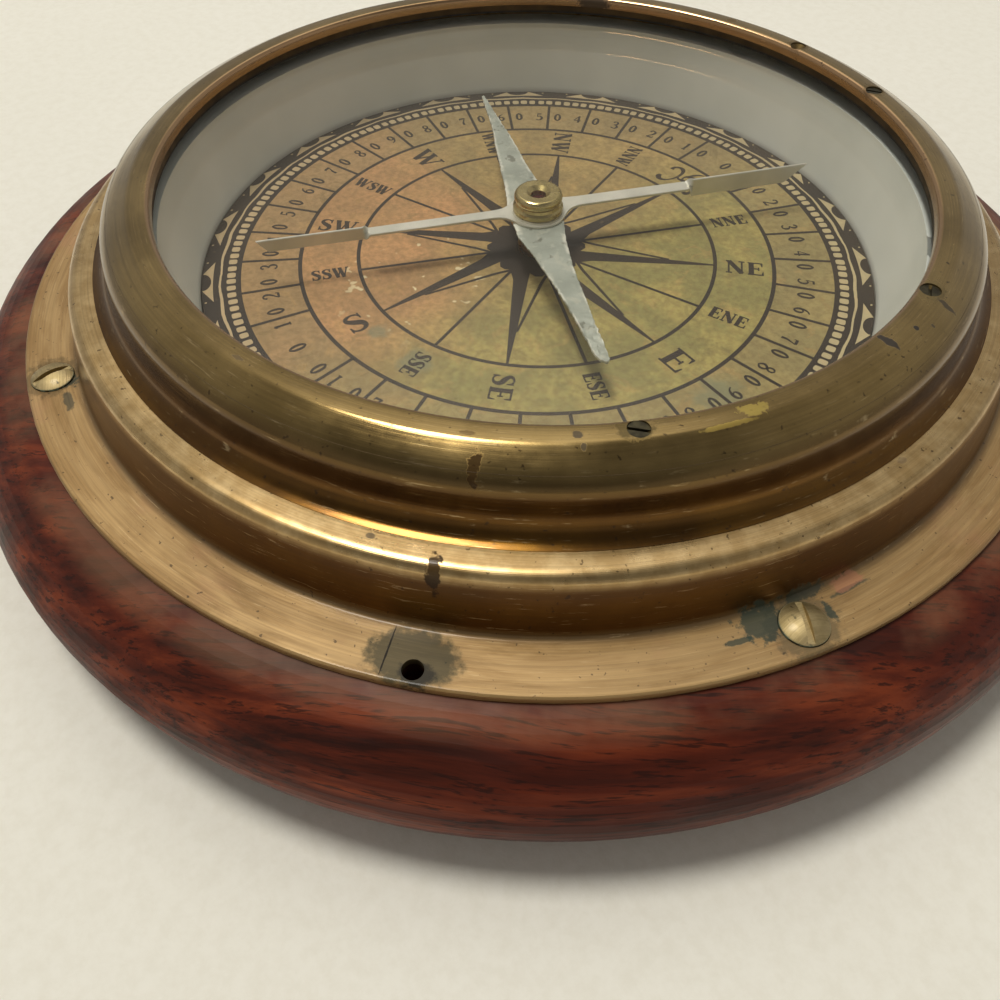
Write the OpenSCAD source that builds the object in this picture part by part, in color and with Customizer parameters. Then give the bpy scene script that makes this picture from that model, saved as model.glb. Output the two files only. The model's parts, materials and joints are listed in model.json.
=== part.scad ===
// Marine compass with a fixed printed card: a turned wooden base, a stepped
// spun brass case and a magnetic needle that turns on a steel point.
// The origin is at the middle of the underside, +Z is up and the card's
// north lies along +Y.

/* [Wooden base] */
// Diameter of the turned wooden base
base_d = 179; // [172:1:200]
// Thickness of the wooden base
base_t = 20; // [18:0.5:30]
// How far the case's flange stands out over the base's rounded edge
flange_lap = 1.7; // [1:0.1:3]
// Thickness of the felt under the base
felt_t = 1; // [0.8:0.1:2]
// How deep the felt is let into the wood
felt_inset = 0.5; // [0.3:0.1:0.6]
// Bare wood left round the felt
felt_margin = 3; // [1:0.5:8]

/* [Brass case] */
// Width of the flange round the foot of the case
flange_w = 7.2; // [6.6:0.1:9]
// Thickness of the flange
flange_t = 1.1; // [0.9:0.1:1.5]
// Thickness of the spun brass wall
wall_t = 1.2; // [1:0.1:1.4]
// How far the lower wall leans out from the shoulder to its foot
wall_slope = 1.7; // [0.8:0.1:2.6]
// Width of the shoulder, from the bezel's wall to its outside
shoulder_w = 6.5; // [6:0.1:9]
// Height of the shoulder above the flange
shoulder_h = 8.7; // [8:0.1:9.2]
// Width of the rounding on the shoulder's outer corner
shoulder_r = 1.6; // [1.2:0.1:2]
// How far the bezel's seat lies under the shoulder
seat_drop = 0.4; // [0.3:0.05:0.6]

/* [Bezel] */
// Diameter of the bezel's upright wall, which the case, glass and card follow
drum_d = 126.6; // [112:0.2:142]
// Width of the bezel's rim, from its wall to the opening
rim_w = 7.6; // [7:0.1:8.2]
// Height of the bezel's top above the flange
drum_h = 17.6; // [17.2:0.1:19]
// Width of the rounding on the bezel's outer top edge
round_w = 4.6; // [3.6:0.1:4.8]
// Height of the rounding on the bezel's outer top edge
round_h = 3.8; // [3.2:0.1:4.2]
// Radius of the bezel's inner top edge
lip_r = 0.7; // [0.4:0.1:0.8]
// Thickness of the bezel's top
lip_t = 1.6; // [1.4:0.1:1.9]
// How far the bezel's foot flares out
flare_w = 1.2; // [0.8:0.1:1.4]
// Height of the flare at the bezel's foot
flare_h = 2; // [1.4:0.1:2.6]

/* [Glass] */
// Clearance round the glass in the case's collar
glass_gap = 0.8; // [0.3:0.1:1.4]
// Thickness of the glass
glass_t = 2; // [1.6:0.1:2.4]
// Thickness of the gasket on the glass
gasket_t = 0.4; // [0.3:0.05:0.6]
// Thickness of the brass ring over the gasket
ring_t = 1; // [0.8:0.1:1.2]

/* [Bowl and card] */
// How far the bowl's wall leans in from its mouth to the card
bowl_slope = 2.6; // [2:0.1:4]
// Thickness of the card
card_t = 0.3; // [0.2:0.05:0.4]
// Thickness of the plate under the card
plate_t = 1.6; // [1.2:0.1:2]
// Thickness of the painted bowl
bowl_t = 1; // [0.8:0.1:1.2]
// How deep the bowl is let into the base
bowl_inset = 1; // [0.6:0.1:1.4]

/* [Screws] */
// Directions of the four flange screws
screw_at = [-13.5, 77, 167.5, 258.5];
// Directions of the slots in the flange screws
slot_at = [162, 40, 118, 18];
// Diameter of a flange screw's head
screw_head = 5.7; // [5:0.1:5.8]
// Diameter of a flange screw's shank
screw_d = 2.9; // [2.4:0.1:3.2]
// Length of a flange screw under its head
screw_len = 12; // [9:0.5:14]
// Height of the dome on a flange screw's head
screw_dome = 0.8; // [0.5:0.1:1.1]
// Width of the slot in a flange screw
slot_w = 0.8; // [0.6:0.1:1.1]
// Depth of the slot in a flange screw
slot_depth = 0.7; // [0.5:0.1:0.9]
// Direction of the unused hole in the flange
spare_at = -46.7; // [-60:0.1:-30]
// Diameter of the unused hole
spare_d = 2.5; // [2:0.1:2.8]
// Metal left between the unused hole and the flange's edge
spare_land = 0.6; // [0.5:0.05:1]
// Directions of the small screws in the bezel
rim_screw_at = [-26.7, 19.2, 73.3];
// Directions of the slots in the bezel screws
rim_slot_at = [70, 105, 140];
// Direction of the empty screw hole in the bezel
rim_spare_at = 91.8; // [85:0.1:110]
// Diameter of a bezel screw's head
rim_head = 2.6; // [2.2:0.1:2.8]
// Diameter of a bezel screw's shank
rim_d = 1.4; // [1.2:0.1:1.5]
// How deep the bezel screws sit under the rim
rim_sunk = 0.2; // [0.15:0.05:0.4]
// Width of the slot in a bezel screw
rim_slot_w = 0.4; // [0.3:0.05:0.5]

/* [Needle] */
// Where the needle's long end points, counted from the card's north
heading = 68.5; // [0:0.5:360]
// Height of the needle's underside above the card
needle_h = 5.8; // [5.6:0.1:6.4]
// Length of the pointed end from the pivot
needle_long = 39; // [30:0.5:44]
// Length of the blunt end from the pivot
needle_short = 35.5; // [30:0.5:42]
// Width across the needle beside the hub
needle_w = 8.6; // [7:0.1:10]
// Thickness of the needle and of the crossbar
strip_t = 0.4; // [0.3:0.05:0.5]
// Width of the crossbar's strip
bar_w = 3.1; // [2.4:0.1:4]
// Reach of the crossbar from the pivot to its tips
bar_reach = 44.5; // [36:0.5:48]
// Where the crossbar starts to twist, from the pivot
twist_at = 24.5; // [18:0.5:28]
// Length of the quarter twist
twist_len = 2; // [1.6:0.1:4]
// Diameter of the crossbar's ring round the hub
bar_ring_d = 10.4; // [9.2:0.1:12]

/* [Hub and pivot] */
// Diameter of the hub cap
cap_d = 7.8; // [7:0.1:8.4]
// Height of the hub cap
cap_h = 3; // [2.8:0.1:3.4]
// Diameter of the hole in the hub cap
cap_hole = 2.3; // [1.8:0.1:2.4]
// Diameter of the hub's neck
neck_d = 4.4; // [4:0.1:4.6]
// Diameter of the jewel cup
jewel_d = 2.6; // [2.5:0.1:2.8]
// Diameter of the steel pivot pin
pin_d = 1; // [0.8:0.1:1.2]
// Clearance of the jewel above the pin's point
point_gap = 0.05; // [0.02:0.01:0.1]
// Diameter of the pivot post's shank
shank_d = 4; // [3.5:0.1:4.4]
// Width across the flats of the post's nut
nut_w = 7; // [6.5:0.1:8]
// Height of the post's nut
nut_h = 3.2; // [2.4:0.1:4]

/* [Hidden] */
$fn = 128;

// Clearances and small cuts
slip = 0.1;         // brass sleeve in brass sleeve
loose = 0.2;        // sheet or card in its recess
screw_room = 0.15;  // flange screw's head to the fillet of the wall
rim_land = 0.25;    // bezel screw's head to the opening
eps = 0.01;         // overrun of a cut

// Levels, up from the table
wood_z = felt_t - felt_inset;
wood_top = wood_z + base_t;
flange_top = wood_top + flange_t;
seat_z = flange_top + shoulder_h - seat_drop;
drum_top = flange_top + drum_h;
lip_z = drum_top - lip_t;
floor_z = wood_top - bowl_inset;
plate_z = floor_z + bowl_t;
card_z = plate_z + plate_t;
card_top = card_z + card_t;
ring_z = lip_z - ring_t;
gasket_z = ring_z - gasket_t;
glass_z = gasket_z - glass_t;
washer_t = 0.8;
washer_z = floor_z - washer_t;
nut_z = washer_z - nut_h;

// Radii out from the bezel's wall
shoulder_out = drum_d / 2 + shoulder_w;
foot_r = shoulder_out + wall_slope;
flange_r = foot_r + flange_w;
screw_ring = (foot_r + flange_r) / 2;
fillet = (flange_w - screw_head) / 2 - screw_room;
nose_r = flange_r - flange_lap;
spare_ring = flange_r - spare_land - spare_d / 2;
felt_r = nose_r - felt_margin;

// Radii in from the bezel's wall
opening_r = drum_d / 2 - rim_w;
rim_ring = opening_r + rim_head / 2 + rim_land;
drum_in = drum_d / 2 - wall_t;
collar_r = drum_in - slip;
collar_in = collar_r - wall_t;
glass_r = collar_in - glass_gap;
card_r = opening_r - bowl_slope;
bowl_r = card_r + loose;

// The post, its washer and nut, and the pocket under them
shank_r = shank_d / 2;
post_collar = 1;
washer_lap = 1.5;
pocket_gap = 3.5;
pocket_deep = 2;

// Sinks of the countersunk heads
screw_edge = 0.25;
screw_sink = (screw_head - screw_d) / 2;
rim_sink = (rim_head - rim_d) / 2;
rim_head_z = drum_top - rim_sunk;
rim_screw_z = ring_z + 0.2;
rim_slot_depth = 0.35;

// The needle's stack, up from the hub's flange
boss_t = 0.7;
skirt_h = 1;
needle_z = card_top + needle_h;
bar_z = needle_z + strip_t;
hub_washer_t = 0.2;
cap_z = bar_z + strip_t + hub_washer_t;
neck_top = cap_z + cap_h - 1.2;
jewel_t = 1.4;
jewel_z = neck_top - jewel_t;
dimple = 0.4;
tip_z = jewel_z + dimple - point_gap;
boss_bore = jewel_d;
skirt_z = needle_z - boss_t - skirt_h;
post_top = skirt_z - 0.6;
post_collar_h = 1.2;

// Points of an elliptical quarter or half, centre c, radii a and b
function ellipse_arc(c, a, b, from, to, steps) =
    [for (i = [0:steps]) let (t = from + (to - from) * i / steps)
        [c[0] + a * cos(t), c[1] + b * sin(t)]];

function reverse(list) = [for (i = [len(list) - 1:-1:0]) list[i]];

module ring(outer_r, inner_r, height) {
    difference() {
        cylinder(r = outer_r, h = height);
        translate([0, 0, -eps]) cylinder(r = inner_r, h = height + 2 * eps);
    }
}

module at(angle, radius) {
    rotate([0, 0, angle]) translate([radius, 0, 0]) children();
}

module on_needle() {
    rotate([0, 0, 90 + heading]) children();
}

module wood_base() {
    half = base_t / 2;
    nose = base_d / 2 - nose_r;
    color("saddlebrown") difference() {
        translate([0, 0, wood_z]) rotate_extrude()
            polygon(concat([[0, 0]],
                ellipse_arc([nose_r, half], nose, half, -90, 90, 24),
                [[0, base_t]]));
        translate([0, 0, wood_z - eps])
            cylinder(r = felt_r + loose, h = felt_inset + eps);
        translate([0, 0, floor_z])
            cylinder(r = bowl_r + bowl_t + loose, h = bowl_inset + eps);
        translate([0, 0, nut_z - pocket_deep])
            cylinder(r = nut_w / 2 + pocket_gap,
                h = floor_z - nut_z + pocket_deep + eps);
        for (a = screw_at) at(a, screw_ring) wood_screw();
        at(spare_at, spare_ring)
            translate([0, 0, wood_top - screw_len])
                cylinder(d = spare_d, h = screw_len + eps);
    }
}

module base_felt() {
    color("darkgreen")
        cylinder(r = felt_r, h = felt_t);
}

// The cone and shank of a flange screw, or its hole with some play round it
module wood_screw(play = 0) {
    translate([0, 0, flange_top - screw_sink])
        cylinder(d1 = screw_d + 2 * play, d2 = screw_head + 2 * play, h = screw_sink);
    translate([0, 0, flange_top - screw_len])
        cylinder(d = screw_d + 2 * play, h = screw_len - screw_sink);
}

module case_profile() {
    corner_r = shoulder_out - shoulder_r;
    corner_h = 0.75 * shoulder_r;
    shoulder_z = flange_top + shoulder_h;
    seat_out = drum_d / 2 + flare_w + slip;
    under_z = seat_z - wall_t;
    edge = 0.4;
    polygon(concat(
        [[foot_r - wall_t, wood_top], [flange_r, wood_top]],
        ellipse_arc([flange_r - edge, flange_top - edge], edge, edge, 0, 90, 4),
        ellipse_arc([foot_r + fillet, flange_top + fillet], fillet, fillet, 270, 180, 6),
        ellipse_arc([corner_r, shoulder_z - corner_h],
            shoulder_r, corner_h, 8, 90, 12),
        ellipse_arc([seat_out + seat_drop, seat_z], seat_drop, seat_drop, 90, 180, 5),
        [[collar_r, seat_z], [collar_r, gasket_z], [collar_in, gasket_z],
         [collar_in, under_z], [corner_r - 1, under_z],
         [corner_r + shoulder_r - wall_t, under_z - corner_h]]));
}

module case_body() {
    color("goldenrod") difference() {
        rotate_extrude() case_profile();
        for (a = screw_at) at(a, screw_ring) wood_screw(slip);
        at(spare_at, spare_ring)
            translate([0, 0, wood_top - eps])
                cylinder(d = spare_d, h = flange_t + 2 * eps);
    }
}

module flange_screws() {
    dome_r = (pow(screw_head / 2, 2) + pow(screw_dome, 2)) / (2 * screw_dome);
    head_top = flange_top + screw_edge + screw_dome;
    color("darkgoldenrod")
        for (i = [0:len(screw_at) - 1]) at(screw_at[i], screw_ring) {
            difference() {
                union() {
                    wood_screw();
                    translate([0, 0, flange_top])
                        cylinder(d = screw_head, h = screw_edge);
                    intersection() {
                        translate([0, 0, head_top - dome_r]) sphere(r = dome_r);
                        translate([0, 0, flange_top + screw_edge])
                            cylinder(d = screw_head, h = 2 * screw_dome);
                    }
                }
                rotate([0, 0, slot_at[i]])
                    translate([-screw_head, -slot_w / 2, head_top - slot_depth])
                        cube([2 * screw_head, slot_w, 2 * slot_depth]);
            }
        }
}

module bezel_profile() {
    wall_r = drum_d / 2;
    foot_t = 0.2;
    // The rounding is an ellipse cut off short of its top, where a small arc
    // of edge_r leads on to the flat rim
    cut = 70;
    wide = round_w / (1 - cos(cut));
    high = round_h / sin(cut);
    tilt = atan(high / wide / tan(cut));
    edge_r = 1.5;
    edge_z = drum_top - edge_r * (1 - cos(tilt));
    polygon(concat(
        [[drum_in, seat_z], [wall_r + flare_w, seat_z]],
        ellipse_arc([wall_r + flare_w, seat_z + foot_t + flare_h],
            flare_w, flare_h, 270, 180, 10),
        ellipse_arc([wall_r - wide, edge_z - round_h], wide, high, 0, cut, 16),
        ellipse_arc([wall_r - round_w - edge_r * sin(tilt), drum_top - edge_r],
            edge_r, edge_r, 90 - tilt + 3, 90, 3),
        ellipse_arc([opening_r + lip_r, drum_top - lip_r],
            lip_r, lip_r, 90, 180, 6),
        [[opening_r, lip_z], [drum_in, lip_z]]));
}

// The cone and shank of a bezel screw, which its holes share
module rim_screw_shape() {
    translate([0, 0, rim_head_z - rim_sink])
        cylinder(d1 = rim_d, d2 = rim_head, h = rim_sink);
    translate([0, 0, rim_screw_z])
        cylinder(d = rim_d, h = rim_head_z - rim_sink - rim_screw_z);
}

module rim_screw_space() {
    rim_screw_shape();
    translate([0, 0, rim_head_z - eps]) cylinder(d = rim_head, h = 2 * rim_sunk);
}

module bezel_cap() {
    color("peru") difference() {
        rotate_extrude() bezel_profile();
        for (a = concat(rim_screw_at, [rim_spare_at])) at(a, rim_ring)
            rim_screw_space();
    }
}

module bezel_screws() {
    color("dimgray")
        for (i = [0:len(rim_screw_at) - 1]) at(rim_screw_at[i], rim_ring)
            difference() {
                rim_screw_shape();
                rotate([0, 0, rim_slot_at[i]])
                    translate([-rim_head, -rim_slot_w / 2, rim_head_z - rim_slot_depth])
                        cube([2 * rim_head, rim_slot_w, 2 * rim_slot_depth]);
            }
}

module glass_ring() {
    color("darkkhaki") difference() {
        translate([0, 0, ring_z])
            ring(drum_in - loose, opening_r + loose, lip_z - ring_z);
        for (a = concat(rim_screw_at, [rim_spare_at])) at(a, rim_ring)
            rim_screw_space();
    }
}

module glass_gasket() {
    color("black") translate([0, 0, gasket_z])
        ring(glass_r, opening_r + 1.5 * loose, gasket_t);
}

module glass() {
    color("azure", 0.3) translate([0, 0, glass_z])
        cylinder(r = glass_r, h = glass_t);
}

module inner_bowl() {
    lip_out = collar_in - loose;
    mouth_r = opening_r + 2 * loose;
    color("lightgray") difference() {
        rotate_extrude() polygon([
            [0, floor_z], [bowl_r + bowl_t, floor_z],
            [bowl_r + bowl_t, card_top], [mouth_r + bowl_t, glass_z - bowl_t],
            [lip_out, glass_z - bowl_t], [lip_out, glass_z],
            [mouth_r, glass_z], [bowl_r, card_top],
            [bowl_r, plate_z], [0, plate_z]]);
        translate([0, 0, floor_z - eps])
            cylinder(r = shank_r + slip, h = bowl_t + 2 * eps);
    }
}

module dial_plate() {
    color("dimgray") translate([0, 0, plate_z])
        ring(card_r, shank_r + slip, plate_t);
}

module dial_card() {
    color("tan") translate([0, 0, card_z])
        ring(card_r, shank_r + post_collar + slip, card_t);
}

module pivot_post() {
    color("gold") difference() {
        union() {
            translate([0, 0, nut_z - 1])
                cylinder(r = shank_r, h = card_z - nut_z + 1);
            translate([0, 0, card_z])
                cylinder(r = shank_r + post_collar, h = post_collar_h);
            translate([0, 0, card_z + post_collar_h])
                cylinder(r1 = shank_r + 0.2, r2 = shank_r - 0.5,
                    h = post_top - card_z - post_collar_h);
        }
        translate([0, 0, card_z + post_collar_h])
            cylinder(d = pin_d, h = post_top);
    }
}

module post_washer() {
    color("silver") translate([0, 0, washer_z])
        ring(nut_w / 2 + washer_lap, shank_r + slip, washer_t);
}

module post_nut() {
    color("goldenrod") difference() {
        translate([0, 0, nut_z])
            cylinder(d = nut_w / cos(30), h = nut_h, $fn = 6);
        translate([0, 0, nut_z - eps])
            cylinder(r = shank_r, h = nut_h + 2 * eps);
    }
}

module pivot_pin() {
    point_h = 1.8;
    point_d = 0.16;
    color("slategray") {
        translate([0, 0, card_z + post_collar_h])
            cylinder(d = pin_d, h = tip_z - point_h - card_z - post_collar_h);
        translate([0, 0, tip_z - point_h])
            cylinder(d1 = pin_d, d2 = point_d, h = point_h);
    }
}

// The needle's outline, pointed end along +X and a slanted cut at the other
module needle_outline() {
    w = needle_w / 2;
    // Shares of the blade's length and of the half width along each blade
    pointed = [[0.13, 1], [0.31, 0.72], [0.46, 0.58], [0.64, 0.42],
        [0.82, 0.24], [1, 0.08]];
    blunt = [[0.14, 1], [0.31, 0.78], [0.51, 0.63], [0.76, 0.51], [0.95, 0.4]];
    polygon(concat(
        [for (p = pointed) [needle_long * p[0], w * p[1]]],
        [for (p = reverse(pointed)) [needle_long * p[0], -w * p[1]]],
        [for (p = blunt) [-needle_short * p[0], -w * p[1]]],
        [[-needle_short, 0.3 * w]],
        [for (p = reverse(blunt)) [-needle_short * p[0], w * p[1]]]));
}

module needle() {
    color("lightsteelblue") on_needle() translate([0, 0, needle_z])
        linear_extrude(strip_t) difference() {
            needle_outline();
            circle(d = neck_d);
        }
}

// One arm of the crossbar along +X: flat strip, quarter twist, upright vane
module bar_arm() {
    vane_at = twist_at + twist_len;
    slant = 2.6;
    root = bar_ring_d / 2 - 1.2;
    translate([root, -bar_w / 2, -strip_t / 2])
        cube([twist_at - root, bar_w, strip_t]);
    translate([twist_at, 0, 0]) rotate([0, 90, 0])
        linear_extrude(twist_len, twist = 90, slices = 8, segments = 4)
            square([strip_t, bar_w], center = true);
    rotate([90, 0, 0]) translate([0, 0, -strip_t / 2])
        linear_extrude(strip_t)
            polygon([[vane_at, -bar_w / 2], [vane_at, bar_w / 2],
                [bar_reach, bar_w / 2], [bar_reach - slant, -bar_w / 2]]);
}

// The web that rounds the corners between the crossbar's ring and one arm
module bar_web() {
    ring_r = bar_ring_d / 2;
    web_r = 2.5;
    rise = bar_w / 2 + web_r;
    reach = sqrt(pow(ring_r + web_r, 2) - pow(rise, 2));
    side = ellipse_arc([reach, rise], web_r, web_r, 180 + atan2(rise, reach), 270, 8);
    linear_extrude(strip_t, center = true)
        polygon(concat(side, [for (p = reverse(side)) [p[0], -p[1]]]));
}

module crossbar() {
    color("gainsboro") on_needle() translate([0, 0, bar_z + strip_t / 2]) {
        difference() {
            cylinder(d = bar_ring_d, h = strip_t, center = true);
            cylinder(d = neck_d, h = 2 * strip_t, center = true);
        }
        for (side = [90, 270]) rotate([0, 0, side]) {
            bar_arm();
            bar_web();
        }
    }
}

module hub_boss() {
    skirt_r = neck_d / 2 + 0.4;
    color("gold") difference() {
        union() {
            translate([0, 0, skirt_z]) cylinder(r = skirt_r, h = skirt_h);
            translate([0, 0, skirt_z + skirt_h])
                cylinder(d = needle_w, h = boss_t);
            translate([0, 0, skirt_z + skirt_h])
                cylinder(d = neck_d, h = neck_top - skirt_z - skirt_h);
        }
        translate([0, 0, skirt_z - eps])
            cylinder(d = boss_bore, h = neck_top - skirt_z + 2 * eps);
    }
}

module hub_washer() {
    color("whitesmoke") translate([0, 0, bar_z + strip_t])
        ring(cap_d / 2 + 0.2, neck_d / 2, hub_washer_t);
}

// Lower rim, groove and rounded top bead
module cap_profile() {
    r = cap_d / 2;
    bead_r = 0.62;
    polygon(concat(
        [[neck_d / 2, 0], [r - 0.1, 0], [r, 0.15], [r, 0.75], [r - 0.35, 1.05],
         [r - 0.45, 1.45]],
        ellipse_arc([r - 0.15 - bead_r, cap_h - 0.8], bead_r, 0.8, -30, 90, 8),
        [[cap_hole / 2 + 0.7, cap_h], [cap_hole / 2, cap_h - 0.5],
         [cap_hole / 2, cap_h - 1.2], [neck_d / 2, cap_h - 1.2]]));
}

module hub_cap() {
    color("gold") translate([0, 0, cap_z])
        rotate_extrude() cap_profile();
}

module jewel_cup() {
    color("darkred") difference() {
        translate([0, 0, jewel_z]) cylinder(d = jewel_d, h = jewel_t);
        translate([0, 0, jewel_z - eps])
            cylinder(d1 = 1.6, d2 = 0.3, h = dimple + eps);
    }
}

wood_base();
base_felt();
case_body();
flange_screws();
bezel_cap();
bezel_screws();
glass_ring();
glass_gasket();
glass();
inner_bowl();
dial_plate();
dial_card();
pivot_post();
post_washer();
post_nut();
pivot_pin();
needle();
crossbar();
hub_boss();
hub_washer();
hub_cap();
jewel_cup();
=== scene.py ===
"""The looks of a marine compass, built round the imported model.

The model's own frame holds here: metres, +Z up, the card's north along +Y.
Sizes below are in millimetres and meet the frame through MM.
"""

import json
import math
import random

import bmesh
import bpy
from mathutils import Matrix, Vector, noise

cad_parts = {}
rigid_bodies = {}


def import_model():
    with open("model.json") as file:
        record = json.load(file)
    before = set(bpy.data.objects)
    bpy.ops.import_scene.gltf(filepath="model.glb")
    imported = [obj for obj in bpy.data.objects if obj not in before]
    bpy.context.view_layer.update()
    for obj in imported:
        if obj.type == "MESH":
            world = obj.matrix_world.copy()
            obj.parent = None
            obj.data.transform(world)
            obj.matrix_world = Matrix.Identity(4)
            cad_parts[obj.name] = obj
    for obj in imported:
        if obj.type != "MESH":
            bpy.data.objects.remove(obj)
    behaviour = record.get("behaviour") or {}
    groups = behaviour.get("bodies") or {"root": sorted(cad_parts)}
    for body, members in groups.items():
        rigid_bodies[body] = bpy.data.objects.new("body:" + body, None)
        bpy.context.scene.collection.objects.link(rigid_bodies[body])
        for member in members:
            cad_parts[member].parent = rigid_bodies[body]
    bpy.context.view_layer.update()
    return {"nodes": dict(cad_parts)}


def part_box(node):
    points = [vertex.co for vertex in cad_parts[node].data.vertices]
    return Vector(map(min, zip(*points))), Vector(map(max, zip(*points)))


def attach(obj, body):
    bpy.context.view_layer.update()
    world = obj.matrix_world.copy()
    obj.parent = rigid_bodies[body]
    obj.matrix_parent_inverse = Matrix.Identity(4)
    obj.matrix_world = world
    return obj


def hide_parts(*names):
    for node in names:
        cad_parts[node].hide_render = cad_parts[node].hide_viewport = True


for leftover in list(bpy.data.objects):
    bpy.data.objects.remove(leftover)

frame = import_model()
node = frame["nodes"]

MM = 0.001


def level(name, corner):
    """Height in mm of a node's lowest (0) or highest (1) corner."""
    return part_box(name)[corner].z / MM


def radius(name):
    """Outer radius in mm of a round node."""
    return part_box(name)[1].x / MM


CARD_TOP = level("dial_card", 1)
CARD_R = radius("dial_card")


def polar(bearing, r):
    """A point at a compass bearing in degrees, north along +Y."""
    b = math.radians(bearing)
    return (r * math.sin(b), r * math.cos(b))


def new_mesh(name, points, faces):
    mesh = bpy.data.meshes.new(name)
    mesh.from_pydata(points, [], faces)
    return mesh


def add_object(name, data):
    made = bpy.data.objects.new(name, data)
    bpy.context.scene.collection.objects.link(made)
    return made


# Camera

PHOTO_TURN = math.radians(51.7)      # from the photo's straight-ahead to +Y
CAMERA_BACK = 116.22                 # mm from the pivot's axis
CAMERA_HIGH = 101.83                 # mm above the floor
CAMERA_YAW = -2.819                  # degrees
CAMERA_PITCH = 51.462
CAMERA_ROLL = math.radians(0.257)
CAMERA_LENS = 29.722                 # mm, on a sensor 36 mm wide


def photo_frame(x, y, z):
    """A point or direction given as the photo sees it: +X right, +Y away."""
    return Matrix.Rotation(PHOTO_TURN, 3, "Z") @ Vector((x, y, z))


def toward(bearing, height):
    """A direction as the photo sees it: degrees right of straight ahead, and up."""
    b, h = math.radians(bearing), math.radians(height)
    return photo_frame(math.sin(b) * math.cos(h), math.cos(b) * math.cos(h), math.sin(h))


def make_camera():
    data = bpy.data.cameras.new("camera")
    data.sensor_width = 36
    data.lens = CAMERA_LENS
    data.clip_start = 0.005
    camera = add_object("camera", data)
    ahead = toward(CAMERA_YAW, -CAMERA_PITCH)
    level_right = toward(CAMERA_YAW + 90, 0)
    level_up = level_right.cross(ahead)
    right = level_right * math.cos(CAMERA_ROLL) + level_up * math.sin(CAMERA_ROLL)
    up = right.cross(ahead)
    turn = Matrix((right, up, -ahead)).transposed().to_4x4()
    place = Matrix.Translation(photo_frame(0, -CAMERA_BACK, CAMERA_HIGH) * MM)
    camera.matrix_world = place @ turn
    bpy.context.scene.camera = camera


make_camera()


# Colours and shader building

def srgb(r, g, b):
    """An 8-bit display colour as the linear colour that a shader takes."""
    def linear(c):
        c /= 255
        return c / 12.92 if c <= 0.04045 else ((c + 0.055) / 1.055) ** 2.4
    return (linear(r), linear(g), linear(b), 1)


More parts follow.
